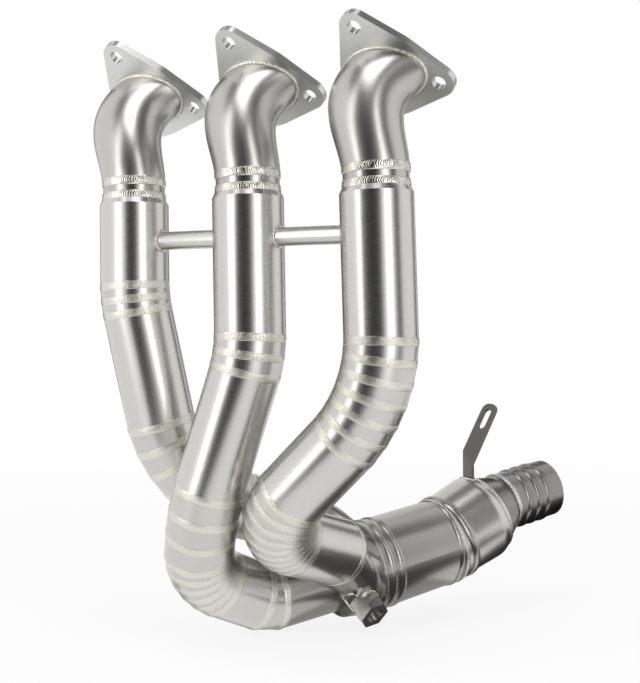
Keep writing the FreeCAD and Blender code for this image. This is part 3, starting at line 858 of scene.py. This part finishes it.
class HEADER_OT_merge_skirt(bpy.types.Operator):
    """Formed skirt that closes the mouths of the merge against the collector"""
    bl_idname = "header.merge_skirt"
    bl_label = "Merge skirt"

    def execute(self, context):
        sizes = context.scene.header_sizes
        middle, flow, _, half = collector_line()
        overlap = 3 * MM
        bm = bmesh.new()
        for name, reach in (("merge_collector", sizes.skirt_reach), ("collector_tube", 0)):
            spots = points_of(name)
            along = (spots - np.array(middle)) @ np.array(flow) + half
            for spot in spots[(along > -reach) & (along < overlap)]:
                bm.verts.new(spot)
        made = bmesh.ops.convex_hull(bm, input=bm.verts[:], use_existing_faces=False)
        spare = {
            item for item in made["geom_interior"] + made["geom_unused"]
            if isinstance(item, bmesh.types.BMVert)}
        bmesh.ops.delete(bm, geom=list(spare), context="VERTS")
        bmesh.ops.dissolve_limit(
            bm, angle_limit=math.radians(1), verts=bm.verts[:], edges=bm.edges[:])
        bmesh.ops.triangulate(bm, faces=bm.faces[:])
        bmesh.ops.recalc_face_normals(bm, faces=bm.faces)
        new_piece("merge_skirt", bm, "titanium_sheet_brushed")
        return {"FINISHED"}


class HEADER_OT_stubs(bpy.types.Operator):
    """Formed stubs with the fuller belly toward the end of the row"""
    bl_idname = "header.stubs"
    bl_label = "Stubs"

    def execute(self, context):
        sizes = context.scene.header_sizes
        out = -mount("centre_port_bolts")[1]
        for side in PIPES:
            port = mount(side + "_port_bolts")[0]
            middle, down, _, half = tube_line(side + "_collar", -UP)
            neck = middle - down * half
            front = port + out * sizes.plate_thick
            path = (front, front + out * sizes.stub_reach, neck - down * sizes.stub_drop, neck)
            # Rings along a curve from the port to the neck: oval at first, round at the end
            bm = bmesh.new()
            before = None
            for step, spot in enumerate(interpolate_bezier(*path, STUB_RINGS)):
                share = step / (STUB_RINGS - 1)
                rest = 1 - share
                way = (
                    (path[1] - path[0]) * rest ** 2 + (path[2] - path[1]) * (2 * rest * share)
                    + (path[3] - path[2]) * share ** 2).normalized()
                blend = rest ** 1.6
                wide = sizes.neck_od + (sizes.port_wide - sizes.neck_od) * blend
                tall = sizes.neck_od + (sizes.port_tall - sizes.neck_od) * blend
                tall += sizes.stub_fullness * math.sin(math.pi * share)
                belly = sizes.stub_belly * math.sin(math.pi * share ** 0.8) ** 1.3
                across = (ROW - way * ROW.dot(way)).normalized()
                turned = Matrix((across, way.cross(across), way)).transposed().to_4x4()
                place = Matrix.Translation(spot - ROW * belly) @ turned
                place = place @ Matrix.Diagonal((wide / 2, tall / 2, 1, 1))
                made = bmesh.ops.create_circle(
                    bm, cap_ends=False, radius=1, segments=STUB_POINTS, matrix=place)["verts"]
                ring = list({edge for vert in made for edge in vert.link_edges})
                if before:
                    bmesh.ops.bridge_loops(bm, edges=before + ring)
                before = ring
            bmesh.ops.recalc_face_normals(bm, faces=bm.faces)
            bmesh.ops.solidify(bm, geom=bm.faces[:], thickness=sizes.tube_wall)
            bmesh.ops.recalc_face_normals(bm, faces=bm.faces)
            piece = new_piece(
                side + "_formed_stub", bm, "titanium_stub_formed")
            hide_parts(side + "_port_stub")
        return {"FINISHED"}


class HEADER_OT_hanger(bpy.types.Operator):
    """Folded hanger strip with its slot, in place of the plainer one"""
    bl_idname = "header.hanger"
    bl_label = "Hanger"

    def execute(self, context):
        sizes = context.scene.header_sizes
        half = sizes.hanger_wide / 2
        foot = hanger_foot()[0]
        flow = collector_line()[1]
        abeam = Vector((flow.y, -flow.x, 0)).normalized()
        across = Matrix.Rotation(-sizes.hanger_turn, 3, "Z") @ abeam
        drop = half * math.tan(sizes.hanger_slant)
        stand = sizes.hanger_stand
        bm = bmesh.new()
        # Slot and outline of the arm: two circles drawn out and bridged into one flat strip
        slot, arm = [
            bmesh.ops.create_circle(
                bm, cap_ends=False, radius=radius, segments=HANGER_POINTS)["verts"]
            for radius in (sizes.slot_wide / 2, half)]
        lift = (sizes.slot_long - sizes.slot_wide) / 2
        slot_middle = stand + sizes.hanger_arm - sizes.slot_edge - sizes.slot_long / 2
        for vert in slot:
            vert.co.y += slot_middle + (lift if vert.co.y > 0 else -lift)
        # The upper half of the outline is the rounded tip, the lower half the slanted fold
        shoulder, squareness, corner = stand + sizes.hanger_arm - half, 0.8, 0.01
        for vert in arm:
            angle = math.atan2(vert.co.y, vert.co.x)
            share = -math.cos(angle)
            if corner < angle < math.pi - corner:
                share = math.copysign(abs(share) ** squareness, share)
                high = shoulder + math.sin(angle) ** squareness * half
            elif abs(abs(share) - 1) < 0.001:
                high = shoulder
            else:
                high = stand + share * drop
            vert.co = (-share * half, high, 0)
        bmesh.ops.bridge_loops(bm, edges=bm.edges[:])
        on_line = 0.01 * MM
        fold = [
            edge for edge in bm.edges if len(edge.link_faces) == 1 and all(
                abs(vert.co.y - stand + vert.co.x * drop / half) < on_line
                for vert in edge.verts)]
        if not fold:
            raise RuntimeError("the hanger has no fold line")
        arm = bm.verts[:]
        leg = bmesh.ops.extrude_edge_only(bm, edges=fold)["geom"]
        for item in leg:
            if isinstance(item, bmesh.types.BMVert):
                item.co.y = -sizes.hanger_sink
        axis = Vector((half, -drop, 0)).normalized()
        bmesh.ops.rotate(
            bm, cent=(0, stand, 0), matrix=Matrix.Rotation(-sizes.hanger_lean, 3, axis), verts=arm)
        bmesh.ops.recalc_face_normals(bm, faces=bm.faces)
        bmesh.ops.solidify(bm, geom=bm.faces[:], thickness=sizes.hanger_thick)
        bmesh.ops.recalc_face_normals(bm, faces=bm.faces)
        turned = Matrix((across, UP, across.cross(UP))).transposed()
        bmesh.ops.transform(bm, matrix=turned.to_4x4(), verts=bm.verts)
        bmesh.ops.translate(bm, vec=foot, verts=bm.verts)
        piece = new_piece("hanger_strip", bm, "titanium_strip_rolled")
        for face in piece.data.polygons:
            face.use_smooth = False
        rounding = piece.modifiers.new("edges", "BEVEL")
        rounding.width = sizes.hanger_edge
        rounding.segments = 2
        rounding.limit_method = "ANGLE"
        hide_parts("hanger_bracket")
        return {"FINISHED"}


class HEADER_OT_boss_thread(bpy.types.Operator):
    """Thread in the sensor boss"""
    bl_idname = "header.boss_thread"
    bl_label = "Boss thread"

    def execute(self, context):
        sizes = context.scene.header_sizes
        place, way = mount("sensor_bung")
        row = [row for row in frame["record"]["mounts"] if row["name"] == "sensor_bung"][0]
        bore = row["dims"]["r_mm"] * MM
        long = row["dims"]["length_mm"] * MM
        pitch = sizes.thread_pitch
        turns = int((long - pitch) / pitch)
        steps = THREAD_STEPS * turns
        # One ridge: its root lies inside the wall of the bore, its crest stands into the bore
        root, crest, flank = bore + 0.15 * MM, bore - 0.45 * pitch, 0.42 * pitch
        bm = bmesh.new()
        corners = [
            bm.verts.new(spot)
            for spot in ((root, 0, -flank), (crest, 0, 0), (root, 0, flank))]
        edges = [bm.edges.new((a, b)) for a, b in zip(corners, corners[1:] + corners[:1])]
        bmesh.ops.spin(
            bm, geom=corners + edges, cent=(0, 0, 0), axis=(0, 0, 1),
            dvec=(0, 0, pitch * turns / steps), angle=2 * math.pi * turns, steps=steps,
            use_merge=False, use_duplicate=False)
        bmesh.ops.holes_fill(
            bm, edges=[edge for edge in bm.edges if len(edge.link_faces) == 1], sides=3)
        turned = way.to_track_quat("Z", "Y").to_matrix().to_4x4()
        start = place - way * pitch * turns / 2
        bmesh.ops.transform(bm, matrix=Matrix.Translation(start) @ turned, verts=bm.verts)
        bmesh.ops.recalc_face_normals(bm, faces=bm.faces)
        new_piece("boss_thread", bm, "titanium_boss_turned")
        return {"FINISHED"}


class HEADER_OT_finishes(bpy.types.Operator):
    """Materials of the titanium tubes, plates and welds"""
    bl_idname = "header.finishes"
    bl_label = "Finishes"

    def execute(self, context):
        ripple = context.scene.header_sizes.ripple
        tones = context.scene.header_colours
        nodes = frame["nodes"]
        flow = tube_axis("collector_tube")[1]
        out = mount("centre_port_bolts")[1]
        # Commercially pure titanium tube, brushed round: soft-edged stripes, fine rings of grain
        tube = metal_finish("titanium_tube_brushed", tones.tube, 0.28, (5.0, 0.8))
        # Pie cuts of the same tube, dressed by hand after welding: a little rougher and patchy
        pie = metal_finish(
            "titanium_pie_cut_brushed", tones.pie_cut, 0.29, (3.0, 0.8), patch=9.0)
        # Pressed titanium stub, left satin: soft, broad reflections
        stub = metal_finish("titanium_stub_formed", tones.stub, 0.32, (5.0, 0.8))
        # Turned titanium collar, satin: fine rings
        collar = metal_finish(
            "titanium_collar_turned", tones.collar, 0.27, (4.0, 0.6), spread=0.015)
        # Milled titanium plate: pale, with fine cutter marks
        plate = metal_finish(
            "titanium_plate_milled", tones.plate, 0.34, (0.35, 2.4), bump=0.012, spread=0.05,
            way=out)
        # Rolled titanium sheet of the merge and collector, brushed round: darker and warmer
        rolled = metal_finish(
            "titanium_sheet_brushed", tones.sheet, 0.3, (8.0, 0.8), spread=0.015, way=flow)
        # The same sheet brushed finer, on the shell over the collector: paler
        fine = metal_finish(
            "titanium_shell_brushed", tones.shell, 0.3, (8.0, 0.8), spread=0.015, way=flow)
        # Titanium outlet and cone, brushed round: darkest
        spun = metal_finish(
            "titanium_cone_brushed", tones.cone, 0.3, (8.0, 0.8), spread=0.015, way=flow)
        # Titanium strip as rolled, for the hanger: dull, grain along the strip
        strip = metal_finish(
            "titanium_strip_rolled", tones.strip, 0.36, (0.6, 5.0), bump=0.001, spread=0.05)
        # Titanium sensor boss, turned and polished: clear reflections
        boss = metal_finish(
            "titanium_boss_turned", tones.boss, 0.18, (2.0, 0.6), bump=0.001, spread=0.05,
            way=flow)
        # TIG weld in titanium, shielded: mirror bright and cream, flat crescents, small pits
        weld_finish("weld_titanium_tig", tones.weld, 0.13, ripple, 0.012, 0.2)
        # The same weld laid as a fuller fillet: smoother, with deeper ripples
        weld_finish("weld_titanium_port", tones.fillet, 0.14, ripple, 0.05, 0.04)
        dress([name for name in nodes if name.endswith("_tube")], tube)
        dress([name for name in nodes if "pie_cut" in name], pie)
        dress([name for name in nodes if name.endswith("_stub")], stub)
        dress([name for name in nodes if name.endswith("_collar")], collar)
        dress([name for name in nodes if name.endswith("_flange")], plate)
        dress(["merge_collector", "collector_tube"], rolled)
        dress(["collector_shell"], fine)
        dress(["reducer_cone", "outlet_tube"], spun)
        dress(["hanger_bracket"], strip)
        dress(["lambda_bung"], boss)
        return {"FINISHED"}


class HEADER_OT_studio(bpy.types.Operator):
    """Floor, backdrop, cards, lamps and camera"""
    bl_idname = "header.studio"
    bl_label = "Studio"

    def card(self, name, start, end, low, high, material):
        """Upright card between two points on the floor plan, seen by reflections only."""
        bm = bmesh.new()
        bmesh.ops.create_grid(bm, x_segments=1, y_segments=1, size=0.5)
        start, end = Vector(start), Vector(end)
        for vert in bm.verts:
            along = vert.co.x + 0.5
            spot = start.lerp(end, along)
            vert.co = (spot.x, spot.y, low + (high - low) * (vert.co.y + 0.5))
        mesh = bpy.data.meshes.new(name)
        bm.to_mesh(mesh)
        bm.free()
        made = bpy.data.objects.new(name, mesh)
        bpy.context.scene.collection.objects.link(made)
        mesh.materials.append(material)
        made.visible_camera = False
        made.visible_shadow = False
        made.visible_diffuse = False
        return made

    def level_card(self, name, corners, height, material):
        """Level card with its first side between two points, seen by reflections only."""
        start, end, depth = [Vector(corner) for corner in corners]
        made = self.card(name, start, end, 0, 1, material)
        for vert in made.data.vertices:
            vert.co += depth * vert.co.z
            vert.co.z = height
        return made

    def execute(self, context):
        studio = context.scene.header_studio
        scene = context.scene
        turn, drop, roll = studio.camera_turn, studio.camera_drop, studio.camera_roll
        ahead = Vector((
            -math.sin(turn) * math.cos(drop), math.cos(turn) * math.cos(drop), -math.sin(drop)))
        right = Vector((math.cos(turn), math.sin(turn), 0))
        top = right.cross(ahead)
        right, top = (
            right * math.cos(roll) + top * math.sin(roll),
            top * math.cos(roll) - right * math.sin(roll))
        camera = bpy.data.cameras.new("photo_camera")
        camera.lens = studio.lens
        camera.sensor_width = 36
        camera.clip_start = 0.01
        holder = bpy.data.objects.new("photo_camera", camera)
        turned = Matrix((right, top, -ahead)).transposed().to_4x4()
        holder.matrix_world = Matrix.Translation(studio.camera_place) @ turned
        scene.collection.objects.link(holder)
        scene.camera = holder
        scene.view_settings.view_transform = "Standard"

        world = bpy.data.worlds.new("studio_room")
        scene.world = world
        world.use_nodes = True
        tree = world.node_tree
        tree.nodes.clear()
        white = add_node(
            tree, "ShaderNodeBackground", {"Color": linear("#ffffff"), "Strength": 1.0})
        soft = add_node(
            tree, "ShaderNodeBackground", {"Color": linear("#f4f4f4"), "Strength": 0.7})
        both = add_node(
            tree, "ShaderNodeMixShader", None,
            {0: background_rays(tree), 1: soft.outputs[0], 2: white.outputs[0]})
        add_node(tree, "ShaderNodeOutputWorld", None, {"Surface": both.outputs[0]})

        # Floor: matt white paper that keeps the soft shadow and turns pure white far away
        paper, tree = empty_material("paper_floor_white")
        place = add_node(tree, "ShaderNodeTexCoord")
        away = add_node(
            tree, "ShaderNodeVectorMath", None, {0: place.outputs["Object"]}, operation="LENGTH")
        spread = add_node(
            tree, "ShaderNodeMapRange",
            {"From Min": 0.25, "From Max": 1.4, "To Min": 0.84, "To Max": 1.0},
            {"Value": away.outputs["Value"]}, interpolation_type="SMOOTHSTEP")
        share = add_node(
            tree, "ShaderNodeMath", None,
            {0: background_rays(tree), 1: spread.outputs["Result"]}, operation="MULTIPLY")
        matt = add_node(tree, "ShaderNodeBsdfDiffuse", {"Color": linear("#f6f6f6")})
        glow = add_node(tree, "ShaderNodeEmission", {"Color": linear("#ffffff"), "Strength": 1.0})
        mixed = add_node(
            tree, "ShaderNodeMixShader", None,
            {0: share.outputs[0], 1: matt.outputs[0], 2: glow.outputs[0]})
        add_node(tree, "ShaderNodeOutputMaterial", None, {"Surface": mixed.outputs[0]})
        bm = bmesh.new()
        bmesh.ops.create_grid(bm, x_segments=2, y_segments=2, size=6.0)
        bmesh.ops.translate(
            bm, vec=(0, 0, CAD_BOX[0][2] - studio.floor_gap), verts=bm.verts)
        mesh = bpy.data.meshes.new("paper_floor")
        bm.to_mesh(mesh)
        bm.free()
        mesh.materials.append(paper)
        floor = bpy.data.objects.new("paper_floor", mesh)
        scene.collection.objects.link(floor)

        # Cards of matt black felt round the object, which give the tubes their dark stripes. The
        # same dark tone is also
        # painted shade: the unlit room and ceiling, and the shaded floor under the outlet
        felt_and_shade = card_material("felt_card_black", "#262625")
        flat_ahead = Vector((ahead.x, ahead.y, 0)).normalized()
        flat_right = Vector((flat_ahead.y, -flat_ahead.x, 0))

        def seen_at(angle, away):
            """Place on the floor plan, turned from the camera's side to the right."""
            angle = math.radians(angle)
            return (-flat_ahead * math.cos(angle) + flat_right * math.sin(angle)) * away

        low, high = CAD_BOX[0][2] - studio.floor_gap, 1.1
        self.card("card_front", (-0.027, -0.325, 0), seen_at(12, 0.95), low, high, felt_and_shade)
        # Unlit room behind the camera, above the lamps
        self.card("room_left", seen_at(-62, 1.3), seen_at(0, 1.3), 0.3, 1.7, felt_and_shade)
        self.card("room_right", seen_at(0, 1.3), seen_at(58, 1.3), 0.3, 1.7, felt_and_shade)
        self.card("card_right", seen_at(47, 1.2), seen_at(66, 1.2), low, high, felt_and_shade)
        self.card("card_side", seen_at(121, 1.2), seen_at(137, 1.2), low, high, felt_and_shade)
        self.card("card_edge_right", seen_at(152, 1.3), seen_at(167, 1.3), low, high, felt_and_shade)
        self.card("card_edge_left", seen_at(-146, 1.3), seen_at(-167, 1.3), low, high, felt_and_shade)
        # Level cards: the unlit ceiling, and painted shade on the floor seen only in reflections:
        # a grey sheet for the shaded floor under the object, a dark sheet for the shaded floor
        # before the collector and a black one under the outlet
        grey = card_material("card_grey", "#b5b4b1")
        collector_floor_shade = card_material("cloth_dark", "#4a4947")

        def on_floor(right_by, near_by):
            """Place on the floor plan, to the right and toward the camera from the origin."""
            return flat_right * right_by - flat_ahead * near_by

        ceiling = ((-0.6, -0.9, 0), (1.0, -0.9, 0), (0, 1.5, 0))
        self.level_card("ceiling_card", ceiling, 1.0, felt_and_shade)
        self.level_card(
            # Painted shade: a dark sheet seen only in reflections, for the shaded floor below and
            # before the collector
            "collector_floor_shade_card", (on_floor(0.055, -0.03), on_floor(0.3, -0.06), on_floor(0, 0.1)),
            low + 2 * MM, collector_floor_shade)
        self.level_card(
            # Painted shade: a grey sheet seen only in reflections, for the shaded floor under the
            # object
            "under_floor_shade_card", (on_floor(-0.1, -0.3), on_floor(0.13, -0.3), on_floor(0, 0.29)),
            low + 1 * MM, grey)
        self.level_card(
            # Painted shade: a black sheet seen only in reflections, for the shaded floor under the
            # outlet
            "outlet_floor_shade_card", (on_floor(0.14, -0.3), on_floor(0.4, -0.3), on_floor(0, 0.22)),
            low + 1 * MM, felt_and_shade)

        target = (0, 0, -0.15)

        def lamp(name, place, wide, tall, power):
            """Softbox that looks at the middle of the pipes."""
            data = bpy.data.lights.new(name, "AREA")
            data.shape = "RECTANGLE"
            data.size, data.size_y = wide, tall
            data.energy = power
            made = bpy.data.objects.new(name, data)
            look = (Vector(target) - Vector(place)).to_track_quat("-Z", "Y")
            made.matrix_world = Matrix.Translation(place) @ look.to_matrix().to_4x4()
            scene.collection.objects.link(made)

        raised = Vector((0, 0, 0.2))
        lamp("softbox_right", seen_at(31, 1.1) + raised, 0.20, 1.6, studio.right_power)
        lamp("softbox_left", seen_at(-52, 0.8) + raised, 0.22, 1.4, studio.left_power)
        lamp("softbox_top", (0.1, -0.2, 0.95), 0.5, 0.5, studio.top_power)
        return {"FINISHED"}


class HEADER_PT_panel(bpy.types.Panel):
    """Sidebar list of the steps"""
    bl_idname = "HEADER_PT_panel"
    bl_label = "Exhaust header"
    bl_space_type = "VIEW_3D"
    bl_region_type = "UI"
    bl_category = "Header"

    def draw(self, context):
        column = self.layout.column()
        for step in STEPS:
            column.operator(step.bl_idname)
        scene = context.scene
        for group in (scene.header_sizes, scene.header_colours, scene.header_studio):
            for name in group.__annotations__:
                column.prop(group, name)


STEPS = (
    HEADER_OT_finishes, HEADER_OT_pipe_welds, HEADER_OT_collector_welds, HEADER_OT_port_beads,
    HEADER_OT_small_welds, HEADER_OT_merge_skirt, HEADER_OT_stubs, HEADER_OT_hanger,
    HEADER_OT_boss_thread, HEADER_OT_studio)
CLASSES = (HeaderSizes, HeaderColours, HeaderStudio, *STEPS, HEADER_PT_panel)


def register():
    for kind in CLASSES:
        bpy.utils.register_class(kind)
    bpy.types.Scene.header_sizes = PointerProperty(type=HeaderSizes)
    bpy.types.Scene.header_colours = PointerProperty(type=HeaderColours)
    bpy.types.Scene.header_studio = PointerProperty(type=HeaderStudio)


def unregister():
    del bpy.types.Scene.header_studio
    del bpy.types.Scene.header_colours
    del bpy.types.Scene.header_sizes
    for kind in reversed(CLASSES):
        bpy.utils.unregister_class(kind)


def main():
    register()
    bpy.ops.header.finishes()
    bpy.ops.header.pipe_welds()
    bpy.ops.header.collector_welds()
    bpy.ops.header.port_beads()
    bpy.ops.header.small_welds()
    bpy.ops.header.merge_skirt()
    bpy.ops.header.stubs()
    bpy.ops.header.hanger()
    bpy.ops.header.boss_thread()
    bpy.ops.header.studio()


if __name__ == "__main__":
    main()
